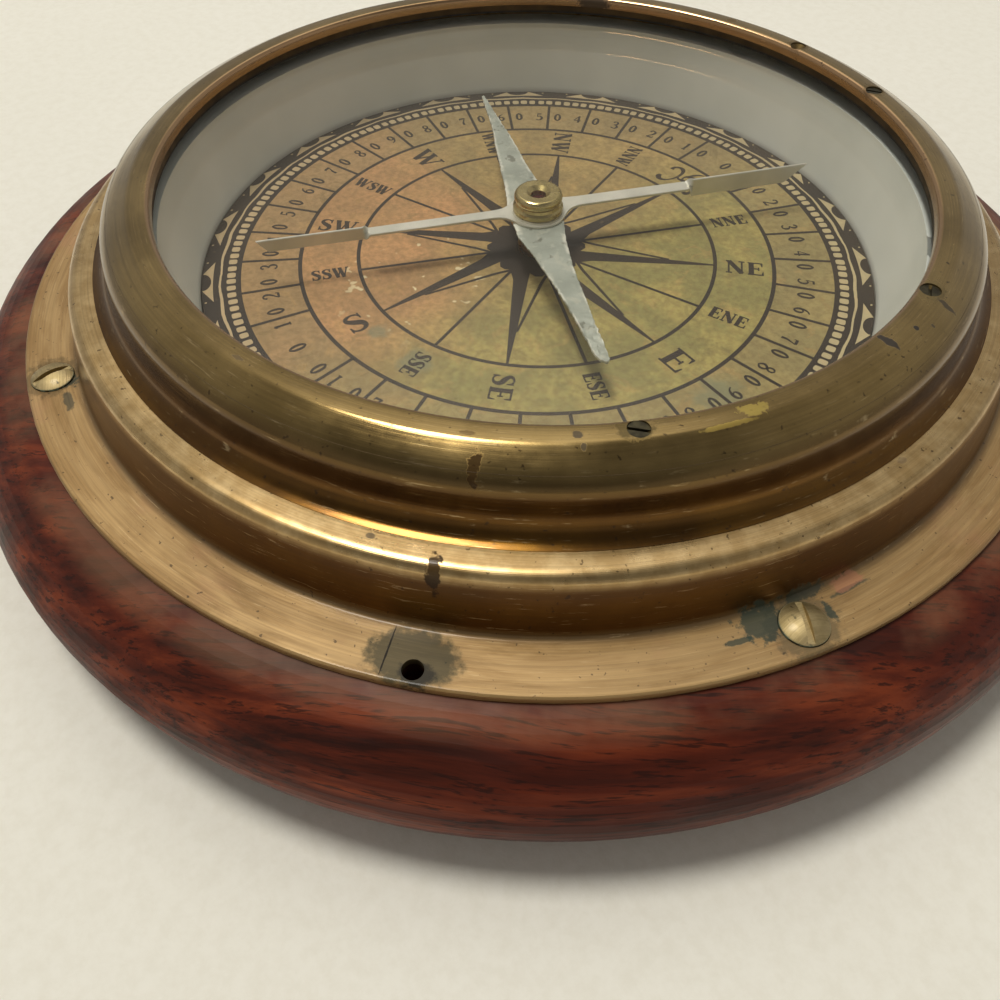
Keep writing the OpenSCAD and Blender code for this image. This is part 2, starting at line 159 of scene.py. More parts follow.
class Finish:
    """A procedural material: one Principled shader and the nodes that feed it."""

    def __init__(self, name, **values):
        self.material = bpy.data.materials.new(name)
        self.material.use_nodes = True
        self.tree = self.material.node_tree
        self.shader = self.tree.nodes["Principled BSDF"]
        for socket, value in values.items():
            self.feed(self.shader.inputs[socket.replace("_", " ")], value)
        self.place = self.add("ShaderNodeTexCoord").outputs["Object"]

    def feed(self, socket, value):
        if isinstance(value, bpy.types.NodeSocket):
            self.tree.links.new(value, socket)
        else:
            socket.default_value = value

    def add(self, kind, inputs=None, **settings):
        made = self.tree.nodes.new(kind)
        for name, value in settings.items():
            setattr(made, name, value)
        for name, value in (inputs or {}).items():
            self.feed(made.inputs[name], value)
        return made

    def math(self, operation, a, b, clamp=False):
        return self.add("ShaderNodeMath", {0: a, 1: b}, operation=operation,
                        use_clamp=clamp).outputs[0]

    def times(self, a, b):
        return self.math("MULTIPLY", a, b)

    def vector(self, operation, a, b=(0, 0, 0), out=0):
        return self.add("ShaderNodeVectorMath", {0: a, 1: b},
                        operation=operation).outputs[out]

    def combine(self, x, y, z):
        return self.add("ShaderNodeCombineXYZ", {0: x, 1: y, 2: z}).outputs[0]

    def noise(self, scale, vector=None, detail=4, rough=0.55, warp=0.0):
        return self.add("ShaderNodeTexNoise", {
            "Vector": vector or self.place, "Scale": scale, "Detail": detail,
            "Roughness": rough, "Distortion": warp}).outputs["Fac"]

    def span(self, value, low, high, start=0.0, end=1.0):
        """value taken smoothly from low..high to start..end, held at both ends."""
        return self.add("ShaderNodeMapRange", {
            "Value": value, "From Min": low, "From Max": high,
            "To Min": start, "To Max": end},
            interpolation_type="SMOOTHSTEP").outputs[0]

    def fade(self, distance, low, high, start=0.0, end=1.0):
        """span of a height or a radius, low and high in mm."""
        return self.span(distance, low * MM, high * MM, start, end)

    def ramp(self, factor, *stops):
        made = self.add("ShaderNodeValToRGB", {"Fac": factor})
        elements = made.color_ramp.elements
        while len(elements) < len(stops):
            elements.new(0.5)
        for element, (position, colour) in zip(elements, stops):
            element.position = position
            element.color = colour
        return made.outputs["Color"]

    def mix(self, factor, a, b):
        return self.add("ShaderNodeMix", {0: factor, 6: a, 7: b},
                        data_type="RGBA").outputs[2]

    def lay(self, mask, colour):
        """Lays a colour over the finish's own where the mask says."""
        self.colour = self.mix(mask, self.colour, colour)

    def xyz(self):
        """x, y and z in metres, and the distance from the pivot's axis."""
        split = self.add("ShaderNodeSeparateXYZ", {0: self.place}).outputs
        flat = self.combine(split[0], split[1], 0.0)
        return split[0], split[1], split[2], self.vector("LENGTH", flat, out=1)

    def around(self, along, across):
        """A place that runs slowly round the axis and fast across it, for the
        marks that a lathe or a hand that follows the rim leaves."""
        x, y, z, r = self.xyz()
        profile = self.math("ADD", r, self.times(z, 0.8))
        return self.combine(
            self.times(self.math("DIVIDE", x, r), along),
            self.times(self.math("DIVIDE", y, r), along),
            self.times(profile, across))

    def spot(self, at, size, edge=0.35, ragged=0.0, scale=600):
        """1 within size mm of the point at (mm), 0 outside, with a ragged rim."""
        away = self.vector("DISTANCE", self.place,
                           tuple(c * MM for c in at), out=1)
        if ragged:
            stir = self.math("SUBTRACT", self.noise(scale, detail=5), 0.5)
            stir = self.times(stir, ragged * size * MM * 2)
            away = self.math("ADD", away, stir)
        return self.fade(away, size * (1 + edge), size * (1 - edge))

    def blot(self, bearing, ring, z, along, across, tall=2.0, ragged=0.3, scale=1100):
        """1 inside a ragged oval (mm) that lies round the axis, 0 outside."""
        out = (*polar(bearing, 1), 0)
        off = self.vector("SUBTRACT", self.place,
                          (ring * MM * out[0], ring * MM * out[1], z * MM))
        shares = [self.math("DIVIDE", self.vector("DOT_PRODUCT", off, way, out=1), size * MM)
                  for way, size in (((out[1], -out[0], 0), along), (out, across),
                                    ((0, 0, 1), tall))]
        away = self.vector("LENGTH", self.combine(*shares), out=1)
        stir = self.math("SUBTRACT", self.noise(scale, detail=5, rough=0.6), 0.5)
        away = self.math("ADD", away, self.times(stir, ragged * 4))
        return self.span(away, 1.2, 0.8)

    def bump(self, height, distance, strength):
        return self.add("ShaderNodeBump", {
            "Height": height, "Distance": distance * MM,
            "Strength": strength}).outputs[0]

    def set(self, socket, value):
        self.feed(self.shader.inputs[socket], value)


def cover(mesh, finish):
    """Gives every face of a mesh one finish."""
    mesh.materials.clear()
    mesh.materials.append(finish.material)
    mesh.polygons.foreach_set("material_index", [0] * len(mesh.polygons))


# Materials

def mahogany():
    """Turned hardwood, its board's grain from side to side as the photo sees it."""
    f = Finish("mahogany", Roughness=0.4)
    board = f.add("ShaderNodeMapping", {"Vector": f.place,
                                        "Rotation": (0, 0, -PHOTO_TURN)}).outputs[0]
    wander = f.noise(18, board, detail=2)
    drift = f.combine(0.0, f.times(wander, 0.012), 0.0)
    board = f.vector("ADD", board, drift)
    long_grain = f.vector("MULTIPLY", board, (14, 260, 420))
    pores = f.vector("MULTIPLY", board, (90, 1400, 1800))
    bands = f.noise(1, long_grain, detail=5, rough=0.6)
    fine = f.noise(1, pores, detail=3, rough=0.7)
    cloud = f.noise(22, board, detail=3)
    f.colour = f.ramp(bands, (0.34, srgb(44, 15, 7)), (0.5, srgb(84, 31, 14)),
                      (0.66, srgb(124, 54, 26)))
    f.lay(f.span(cloud, 0.35, 0.7, 0, 0.5), srgb(80, 28, 14))
    f.lay(f.span(fine, 0.53, 0.64, 0, 0.8), srgb(38, 14, 8))
    *_, z, r = f.xyz()
    rub = f.times(f.fade(z, 10.5, 4), f.span(f.noise(45, detail=6), 0.48, 0.66))
    rub = f.times(rub, f.span(f.noise(1, long_grain, detail=3), 0.35, 0.6))
    f.lay(f.times(rub, 0.55), srgb(150, 120, 112))
    # Paler in patches along the top edge: a painted highlight where the light falls on it.
    top_painted_highlight = f.times(f.fade(z, 18.8, 20.2), f.span(f.noise(70, detail=5), 0.35, 0.6))
    f.lay(f.times(top_painted_highlight, 0.35), srgb(150, 112, 84))
    # Painted shadow on the wood just under the flange's lip.
    painted_shadow_under_lip = f.times(f.fade(z, 19.6, 20.6), f.fade(r, 76.5, 79, 1, 0))
    f.lay(f.times(painted_shadow_under_lip, 0.85), srgb(25, 12, 8))
    f.set("Base Color", f.colour)
    f.set("Roughness", f.span(f.noise(60, detail=5), 0.3, 0.7, 0.38, 0.58))
    f.set("Normal", f.bump(f.mix(0.5, fine, bands), 0.12, 0.5))
    f.shader.inputs["Specular IOR Level"].default_value = 0.18
    return f


def brass(name, coat):
    """Old brass: what a lathe's fine rings, tarnish and wear are made from."""
    f = Finish(name, Metallic=1.0)
    f.shader.inputs["Coat Weight"].default_value = coat
    f.shader.inputs["Coat Roughness"].default_value = 0.18
    f.rings = f.noise(1, f.around(1.6, 5200), detail=4, rough=0.65)
    f.smear = f.noise(1, f.around(5, 420), detail=5, rough=0.6, warp=0.6)
    f.patches = f.noise(55, detail=6, rough=0.6)
    f.mottle = f.noise(300, detail=5, rough=0.65)
    f.metal_map = (1, 1, 1, 1)
    return f


def crust(f, mask, colour, metal=0.1, rough=0.85):
    """Lays a dull crust or stain over the metal where the mask says."""
    f.lay(mask, colour)
    f.rough_map = f.mix(mask, f.rough_map, (rough,) * 3 + (1,))
    f.metal_map = f.mix(mask, f.metal_map, (metal,) * 3 + (1,))
    f.set("Metallic", f.metal_map)


def wear(f, low, high, lit=0.35):
    """Scratches that run round, pits, and the roughness between low and high."""
    brushed = f.span(f.rings, 0.35, 0.65, 0.0, 0.22)
    f.lay(brushed, srgb(64, 46, 24))
    scratch = f.span(f.noise(1, f.around(14, 7000), detail=4, rough=0.7), 0.6, 0.7, 0, lit)
    f.lay(scratch, srgb(226, 200, 152))
    pits = f.span(f.noise(1300, detail=2), 0.33, 0.27, 0, 0.7)
    f.lay(pits, srgb(58, 42, 26))
    f.rough_map = f.math("ADD", f.span(f.patches, 0.3, 0.7, low, high),
                         f.span(f.smear, 0.3, 0.8, -0.04, 0.06))


def finish_brass(f, bump=0.02):
    f.set("Base Color", f.colour)
    f.set("Roughness", f.rough_map)
    f.set("Normal", f.bump(f.mix(0.4, f.rings, f.mottle), bump, 0.7))
    return f


TEAL = srgb(38, 58, 47)
SLATE = srgb(52, 58, 44)
UMBER = srgb(34, 26, 18)
# Marks as (bearing, ring, z, along, across, tall, ragged, share, colour, metal)
CASE_MARKS = [
    (106.7, 73.3, 21.6, 2.8, 2.3, 2, 0.55, 0.85, TEAL, 0.1),
    (109.6, 74.7, 21.6, 1.6, 0.4, 2, 0.3, 0.8, TEAL, 0.1),
    (101.8, 71.8, 21.6, 2.8, 0.7, 2, 0.5, 0.8, SLATE, 0.1),
    (100.7, 75.0, 21.6, 0.5, 1.4, 2, 0.4, 0.85, TEAL, 0.1),
    (97.6, 73.4, 21.6, 2.7, 0.3, 2, 0.3, 0.7, TEAL, 0.2),
    (103.6, 75.1, 21.6, 4.2, 4.1, 2, 0.35, 0.45, SLATE, 0.3),
    (97.2, 72.6, 21.6, 2.2, 1.0, 2, 0.5, 0.5, srgb(204, 142, 112), 1.0),
    (190.3, 73.6, 21.6, 1.4, 1.6, 2, 0.6, 0.85, TEAL, 0.1),
    (187.0, 73.8, 21.6, 2.0, 0.6, 2, 0.5, 0.7, SLATE, 0.1),
    (191.6, 75.4, 21.6, 3.9, 3.7, 2, 0.3, 0.45, srgb(64, 58, 38), 0.8),
    (282.5, 74.6, 21.6, 3.8, 3.6, 2, 0.5, 0.6, SLATE, 0.2),
    (13.0, 74.8, 21.6, 3.9, 3.4, 2, 0.5, 0.6, TEAL, 0.2),
    (137.0, 75.5, 21.6, 5.0, 3.4, 2, 0.22, 0.75, srgb(72, 72, 52), 0.7),
    (136.3, 77.3, 21.6, 2.0, 1.4, 2, 0.3, 0.8, srgb(40, 36, 26), 0.6),
    (139.2, 75.4, 21.6, 0.11, 3.0, 2, 0.3, 0.9, UMBER, 1.0),
    (136.0, 69.9, 30.0, 0.75, 2.3, 3, 0.6, 0.85, srgb(60, 40, 18), 1.0),
    (142.5, 67.0, 30.3, 0.5, 0.4, 1, 0.3, 0.6, UMBER, 0.1),
    (88.0, 66.8, 30.3, 0.7, 0.4, 1, 0.4, 0.5, UMBER, 0.1),
]
BEZEL_MARKS = [
    (317.5, 55.9, 38.2, 3.0, 1.0, 1.4, 0.3, 0.85, UMBER, 0.1),
    (103.8, 57.7, 39.2, 1.5, 0.9, 1, 0.7, 0.5, srgb(186, 166, 78), 0.9),
    (107.4, 58.8, 39.1, 3.4, 0.3, 1, 0.3, 0.4, srgb(206, 180, 84), 1.0),
    (123.2, 57.5, 39.2, 0.5, 0.5, 1, 0.4, 0.7, UMBER, 0.1),
    (122.7, 59.1, 39.1, 0.3, 0.4, 1, 0.4, 0.7, UMBER, 0.1),
    (133.3, 61.4, 38.2, 0.7, 1.6, 2.6, 0.7, 0.85, srgb(60, 40, 18), 1.0),
    (134.6, 58.0, 39.2, 0.9, 0.3, 1, 0.4, 0.5, srgb(70, 50, 28), 1.0),
    (83.2, 57.7, 39.2, 0.6, 1.4, 1.5, 0.35, 0.95, srgb(26, 17, 13), 0.0),
    (78.7, 58.7, 39.2, 0.35, 0.35, 1, 0.2, 0.95, srgb(20, 14, 12), 0.0),
    (76.4, 59.9, 39.0, 0.25, 0.3, 1, 0.2, 0.8, UMBER, 0.0),
    (71.0, 57.4, 39.2, 2.3, 1.6, 1, 0.3, 0.5, srgb(84, 76, 50), 1.0),
    (72.0, 59.9, 39.1, 0.5, 1.4, 1.5, 0.4, 0.85, UMBER, 0.1),
    (117.0, 57.0, 39.2, 2.0, 1.6, 1, 0.35, 0.6, srgb(64, 56, 28), 1.0),
    (16.7, 57.0, 39.2, 1.9, 1.6, 1, 0.35, 0.6, srgb(66, 52, 30), 1.0),
    (358.2, 57.3, 39.2, 1.9, 1.6, 1, 0.35, 0.6, srgb(50, 38, 22), 1.0),
    (344.0, 57.4, 39.2, 0.9, 0.8, 1, 0.35, 0.6, srgb(80, 60, 34), 1.0),
    (163.0, 57.9, 39.2, 0.9, 0.3, 1, 0.5, 0.6, srgb(50, 36, 22), 0.3),
    (246.0, 58.2, 39.2, 0.5, 0.5, 1, 0.5, 0.6, srgb(50, 36, 22), 0.3),
]


def marked(f, marks):
    for bearing, ring, z, along, across, tall, ragged, share, colour, metal in marks:
        mask = f.blot(bearing, ring, z, along, across, tall, ragged)
        crust(f, f.times(mask, share), colour, metal, 0.8)


def case_brass():
    f = brass("case_brass", 0.3)
    *_, z, r = f.xyz()
    tan = f.mix(f.span(f.smear, 0.35, 0.7), srgb(180, 148, 98), srgb(154, 121, 73))
    tan = f.mix(f.span(f.patches, 0.52, 0.68, 0, 0.45), tan, srgb(184, 136, 102))
    # Painted shade: the upright wall is coloured a darker brass than the rest of the case.
    shaded_wall = f.mix(f.span(f.patches, 0.3, 0.7), srgb(86, 54, 15), srgb(110, 74, 26))
    # Painted light: the top and shoulder are coloured a lighter brass than the wall and flange.
    painted_lit_gold = f.mix(f.span(f.mottle, 0.35, 0.7), srgb(186, 154, 102), srgb(214, 184, 132))
    flange = f.fade(z, 23, 21.7)
    top = f.fade(z, 28, 29.9)
    f.colour = f.mix(top, f.mix(flange, shaded_wall, tan), painted_lit_gold)
    foot = f.times(flange, f.fade(r, 72.8, 71.5))
    f.lay(f.times(foot, 0.6), srgb(70, 50, 28))
    f.metal_map = f.mix(flange, (1, 1, 1, 1), (0.6, 0.6, 0.6, 1))
    wear(f, 0.34, 0.46)
    f.rough_map = f.math("ADD", f.rough_map, f.times(flange, 0.18))
    f.rough_map = f.math("SUBTRACT", f.rough_map, f.times(top, 0.08))
    marked(f, CASE_MARKS)
    return finish_brass(f)


def bezel_brass():
    f = brass("bezel_brass", 0.3)
    *_, z, r = f.xyz()
    rim = f.mix(f.span(f.patches, 0.32, 0.68), srgb(140, 116, 68), srgb(168, 142, 90))
    # Painted shade: the bezel's wall is coloured a darker brass than its rim.
    shaded_wall = f.mix(f.span(f.patches, 0.32, 0.68), srgb(90, 58, 14), srgb(116, 80, 24))
    f.colour = f.mix(f.fade(z, 34.5, 37.8), shaded_wall, rim)
    # A pale line along the inner lip: painted highlight.
    f.lay(f.fade(r, 56.4, 56, 0, 0.9), srgb(186, 150, 112))
    # A darker band up the upright wall: painted shade.
    upright = f.times(f.fade(z, 38, 36.8), f.fade(z, 32.2, 33.6))
    f.lay(f.times(upright, 0.45), srgb(62, 36, 8))
    wear(f, 0.17, 0.26)
    marked(f, BEZEL_MARKS)
    return finish_brass(f)


def screw_brass():
    f = brass("screw_brass", 0.2)
    f.colour = f.mix(f.span(f.mottle, 0.3, 0.7), srgb(160, 142, 98), srgb(190, 170, 126))
    wear(f, 0.48, 0.6, 0.3)
    z = f.xyz()[2]
    deep = f.fade(z, 21.95, 21.65)
    grit = f.span(f.noise(1500, detail=4), 0.4, 0.6)
    crust(f, deep, srgb(62, 66, 54), 0.1)
    crust(f, f.times(deep, grit), srgb(150, 172, 150), 0.0)
    crust(f, f.span(f.noise(500, detail=5), 0.6, 0.68, 0, 0.6), SLATE, 0.2)
    return finish_brass(f, 0.05)


def plain(name, low, high, scale=300, rough=0.5, bump=0.02, **values):
    """A finish that wanders between two colours."""
    f = Finish(name, **values)
    patches = f.noise(scale, detail=5)
    f.set("Base Color", f.mix(f.span(patches, 0.3, 0.7), srgb(*low), srgb(*high)))
    f.set("Roughness", f.span(f.noise(scale * 2.3, detail=4), 0.3, 0.7,
                              rough - 0.07, rough + 0.1))
    f.set("Normal", f.bump(f.noise(scale * 3, detail=3), bump, 0.5))
    return f


def bowl_paint():
    f = Finish("bowl_paint")
    z = f.xyz()[2]
    cloud = f.noise(60, detail=5)
    f.colour = f.mix(f.span(cloud, 0.3, 0.7), srgb(218, 222, 213), srgb(230, 233, 224))
    f.lay(f.fade(z, 23.5, 22.2, 0, 0.5), srgb(120, 108, 92))
    f.set("Base Color", f.colour)
    f.set("Roughness", f.span(cloud, 0.3, 0.7, 0.5, 0.62))
    f.set("Normal", f.bump(f.noise(1600, detail=3), 0.02, 0.5))
    return f


def card_paper(name="card_paper", lighter=0.0):
    """The aged printed paper: tan, with an orange south and a green north-east."""
    f = Finish(name, Roughness=0.75)
    r = f.xyz()[3]
    broad = f.noise(28, detail=4, rough=0.6)
    blotch = f.noise(95, detail=6, rough=0.62, warp=0.4)
    fine = f.noise(900, detail=4, rough=0.7)

    def facing(bearing, low, high):
        way = (*polar(bearing, 1), 0)
        push = f.vector("DOT_PRODUCT", f.vector("NORMALIZE", f.place), way, out=1)
        return f.span(f.math("ADD", push, f.span(broad, 0, 1, -0.5, 0.5)), low, high)

    f.colour = f.mix(f.span(blotch, 0.36, 0.64), srgb(158, 136, 86), srgb(186, 158, 98))
    orange = f.mix(f.span(blotch, 0.4, 0.62), srgb(184, 142, 94), srgb(204, 154, 102))
    green = f.mix(f.span(blotch, 0.42, 0.6), srgb(150, 142, 84), srgb(178, 162, 94))
    f.lay(facing(215, 0.15, 0.6), orange)
    f.lay(facing(85, -0.1, 0.55), green)
    number_ring = f.times(f.fade(r, 37.6, 38.4), 0.55)
    f.lay(number_ring, srgb(158, 138, 96))
    crisp = f.noise(170, detail=8, rough=0.72, warp=0.8)
    f.lay(f.span(crisp, 0.55, 0.6, 0, 0.3), srgb(198, 158, 96))
    f.lay(f.span(crisp, 0.43, 0.38, 0, 0.35), srgb(118, 106, 62))
    f.lay(f.span(fine, 0.35, 0.65, 0, 0.4), srgb(112, 90, 54))
    specks = f.times(f.span(f.noise(420, detail=2), 0.66, 0.7),
                     f.spot((-4, -21, 22.4), 11, 0.6))
    f.lay(specks, srgb(232, 216, 170))
    smudge = [f.spot((12.4, -30.7, 22.4), 2.2, 0.5, 1.0, 500),
              f.spot((41.5, 0, 22.4), 3.0, 0.7, 1.2, 500),
              f.spot((3.7, -31.5, 22.4), 1.5, 0.5, 1.0, 500)]
    for mask in smudge:
        f.lay(f.times(mask, 0.6), srgb(122, 128, 100))
    if lighter:
        f.lay(lighter, srgb(222, 204, 164))
    f.set("Base Color", f.colour)
    f.set("Normal", f.bump(fine, 0.02, 0.4))
    return f


def ink():
    f = Finish("ink", Roughness=0.6)
    worn = f.noise(700, detail=5, rough=0.7)
    cloud = f.noise(60, detail=3)
    f.colour = f.mix(f.span(cloud, 0.3, 0.7), srgb(40, 29, 16), srgb(54, 40, 22))
    f.lay(f.span(worn, 0.62, 0.74, 0, 0.45), srgb(130, 108, 70))
    f.set("Base Color", f.colour)
    return f


def needle_paint():
    """Pale paint, rubbed bright and flaking along the blade's edges."""
    f = Finish("needle_paint", Roughness=0.55, Metallic=0.25)
    flake = f.noise(520, detail=6, rough=0.7)
    cloud = f.noise(160, detail=4)
    f.colour = f.mix(f.span(cloud, 0.3, 0.7), srgb(152, 157, 144), srgb(176, 180, 166))
    f.lay(f.span(flake, 0.54, 0.6, 0, 0.5), srgb(190, 190, 172))
    f.lay(f.span(f.noise(420, detail=5), 0.6, 0.66, 0, 0.7), srgb(98, 98, 82))
    edge = f.add("ShaderNodeAttribute", attribute_name="edge").outputs["Fac"]
    edge = f.times(edge, f.span(f.noise(330, detail=4), 0.42, 0.56))
    f.lay(f.times(edge, 0.8), srgb(232, 230, 214))
    f.set("Base Color", f.colour)
    f.set("Normal", f.bump(f.mix(0.5, flake, f.noise(1500)), 0.12, 0.9))
    return f


def bar_alloy():
    f = Finish("bar_alloy", Metallic=0.6)
    streak = f.noise(1, f.vector("MULTIPLY", f.place, (700, 700, 2500)), detail=4)
    cloud = f.noise(140, detail=5)
    f.set("Base Color", f.mix(f.span(cloud, 0.3, 0.7), srgb(208, 206, 190), srgb(228, 224, 208)))
    f.set("Roughness", f.span(streak, 0.3, 0.7, 0.28, 0.42))
    f.set("Normal", f.bump(streak, 0.015, 0.5))
    return f


def clear_glass():
    """Reflects as glass does and lets the rest through unbent."""
    f = Finish("clear_glass", Metallic=1.0)
    f.set("Base Color", f.mix(f.span(f.noise(40), 0.4, 0.6), srgb(244, 236, 220),
                              srgb(250, 243, 228)))
    slant = f.add("ShaderNodeLayerWeight", {"Blend": 0.5}).outputs["Facing"]
    shine = f.math("MULTIPLY_ADD", f.math("POWER", slant, 5.0), 0.9)
    shine.node.inputs[2].default_value = 0.02        # what reflects straight on
    dust = f.span(f.noise(2600, detail=2), 0.68, 0.8, 0, 0.04)
    f.set("Alpha", f.math("ADD", shine, dust, clamp=True))
    f.set("Roughness", f.span(f.noise(25, detail=3), 0.3, 0.7, 0.02, 0.08))
    return f


def felt():
    f = Finish("felt", Roughness=0.95)
    fuzz = f.noise(1800, detail=5, rough=0.8)
    f.set("Base Color", f.mix(f.span(fuzz, 0.3, 0.7), srgb(20, 44, 30), srgb(40, 72, 50)))
    f.set("Normal", f.bump(fuzz, 0.2, 0.8))
    f.shader.inputs["Sheen Weight"].default_value = 0.5
    return f


finishes = {
    "wood_base": mahogany(), "base_felt": felt(), "case_body": case_brass(),
    "flange_screws": screw_brass(), "bezel_cap": bezel_brass(),
    "bezel_screws": plain("dark_screws", (48, 44, 34), (78, 72, 52),
                          900, 0.5, Metallic=0.8),
    # A dark brass for the glass ring: painted shade for a ring that lies in the lip's shadow.
    "glass_ring": plain("ring_brass", (60, 48, 34), (84, 68, 46), 200, 0.5,
                        Metallic=0.7),
    "glass_gasket": plain("gasket_rubber", (16, 15, 14), (30, 28, 26), 400, 0.7),
    "glass": clear_glass(), "inner_bowl": bowl_paint(),
    "dial_plate": plain("plate_metal", (70, 66, 58), (92, 86, 76), 120, 0.5,
                        Metallic=0.9),
    "dial_card": card_paper(),
    "needle": needle_paint(), "crossbar": bar_alloy(),
}
post = plain("post_brass", (150, 112, 56), (190, 150, 84), 500, 0.32, Metallic=1.0)
cap = plain("cap_brass", (176, 158, 102), (196, 178, 124), 150, 0.22, 0.001, Metallic=1.0)
steel = plain("steel", (120, 120, 118), (150, 150, 148), 600, 0.3, Metallic=1.0)
jewel = plain("jewel", (54, 20, 26), (84, 34, 40), 500, 0.15, Metallic=0.0)
finishes.update({"pivot_post": post, "post_washer": finishes["dial_plate"],
                 "post_nut": post, "pivot_pin": steel, "hub_boss": post,
                 "hub_washer": finishes["crossbar"], "hub_cap": cap,
                 "jewel_cup": jewel})
for name, finish in finishes.items():
    cover(node[name].data, finish)


# The card's print, in millimetres round the pivot

INK_T = 0.02
LAYER = 0.0004


class Print:
    """Flat prisms a few hundredths of a millimetre thick that lie on the card."""

    def __init__(self, name, floor):
        self.name = name
        self.floor = floor
        self.points = []
        self.faces = []
        self.made = 0

    def next_top(self):
        """Prisms that cross end at slightly different heights."""
        self.made += 1
        return self.floor + INK_T + LAYER * (self.made % 25)

    def strip(self, left, right, closed=False):
        """A flat strip between two equally long rows of points."""
        top = self.next_top()
        first = len(self.points)
        for a, b in zip(left, right):
            self.points += [(*a, top), (*b, top), (*a, self.floor), (*b, self.floor)]
        count = len(left)
        for i in range(count if closed else count - 1):
            p = first + 4 * i
            q = first + 4 * ((i + 1) % count)
            self.faces += [(p, p + 1, q + 1, q), (p + 2, q + 2, q + 3, p + 3),
                           (p, q, q + 2, p + 2), (p + 1, p + 3, q + 3, q + 1)]
        if not closed:
            p, q = first, first + 4 * (count - 1)
            self.faces += [(p, p + 2, p + 3, p + 1), (q, q + 1, q + 3, q + 2)]

    def outline(self, points):
        """A flat shape inside one outline."""
        top = self.next_top()
        first = len(self.points)
        count = len(points)
        self.points += [(*p, top) for p in points] + [(*p, self.floor) for p in points]
        upper = list(range(first, first + count))
        lower = list(range(first + count, first + 2 * count))
        self.faces += [tuple(upper), tuple(reversed(lower))]
        for i in range(count):
            j = (i + 1) % count
            self.faces.append((upper[i], lower[i], lower[j], upper[j]))

    def ring(self, inner, outer, steps=240):
        angles = [360 * i / steps for i in range(steps)]
        self.strip([polar(a, inner) for a in angles],
                   [polar(a, outer) for a in angles], closed=True)

    def line(self, points, widths):
        """A stroke along points, widths[i] wide at points[i]."""
        left, right = [], []
        for i, (x, y) in enumerate(points):
            x0, y0 = points[max(i - 1, 0)]
            x1, y1 = points[min(i + 1, len(points) - 1)]
            length = math.hypot(x1 - x0, y1 - y0) or 1
            nx, ny = (y0 - y1) / length, (x1 - x0) / length
            half = widths[i] / 2
            left.append((x + nx * half, y + ny * half))
            right.append((x - nx * half, y - ny * half))
        self.strip(left, right)

    def build(self, finish):
        mesh = new_mesh(self.name, [Vector(p) * MM for p in self.points], self.faces)
        fix_normals(mesh)
        cover(mesh, finish)
        piece = add_object(self.name, mesh)
        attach(piece, "housing")


def fix_normals(mesh):
    """Turns every face of a closed mesh outward."""
    work = bmesh.new()
    work.from_mesh(mesh)
    bmesh.ops.recalc_face_normals(work, faces=work.faces)
    work.to_mesh(mesh)
    work.free()


def curve(points, steps=6):
    """A smooth line (Catmull-Rom) through points of any dimension."""
    row = [points[0], *points, points[-1]]
    out = []
    for a, b, c, d in zip(row, row[1:], row[2:], row[3:]):
        for i in range(steps):
            t = i / steps
            out.append(tuple(
                0.5 * (2 * q + (r - p) * t + (2 * p - 5 * q + 4 * r - s) * t ** 2
                       + (3 * q - p - 3 * r + s) * t ** 3)
                for p, q, r, s in zip(a, b, c, d)))
    out.append(tuple(points[-1]))
    return out


THIN, STEM = 0.07, 0.2
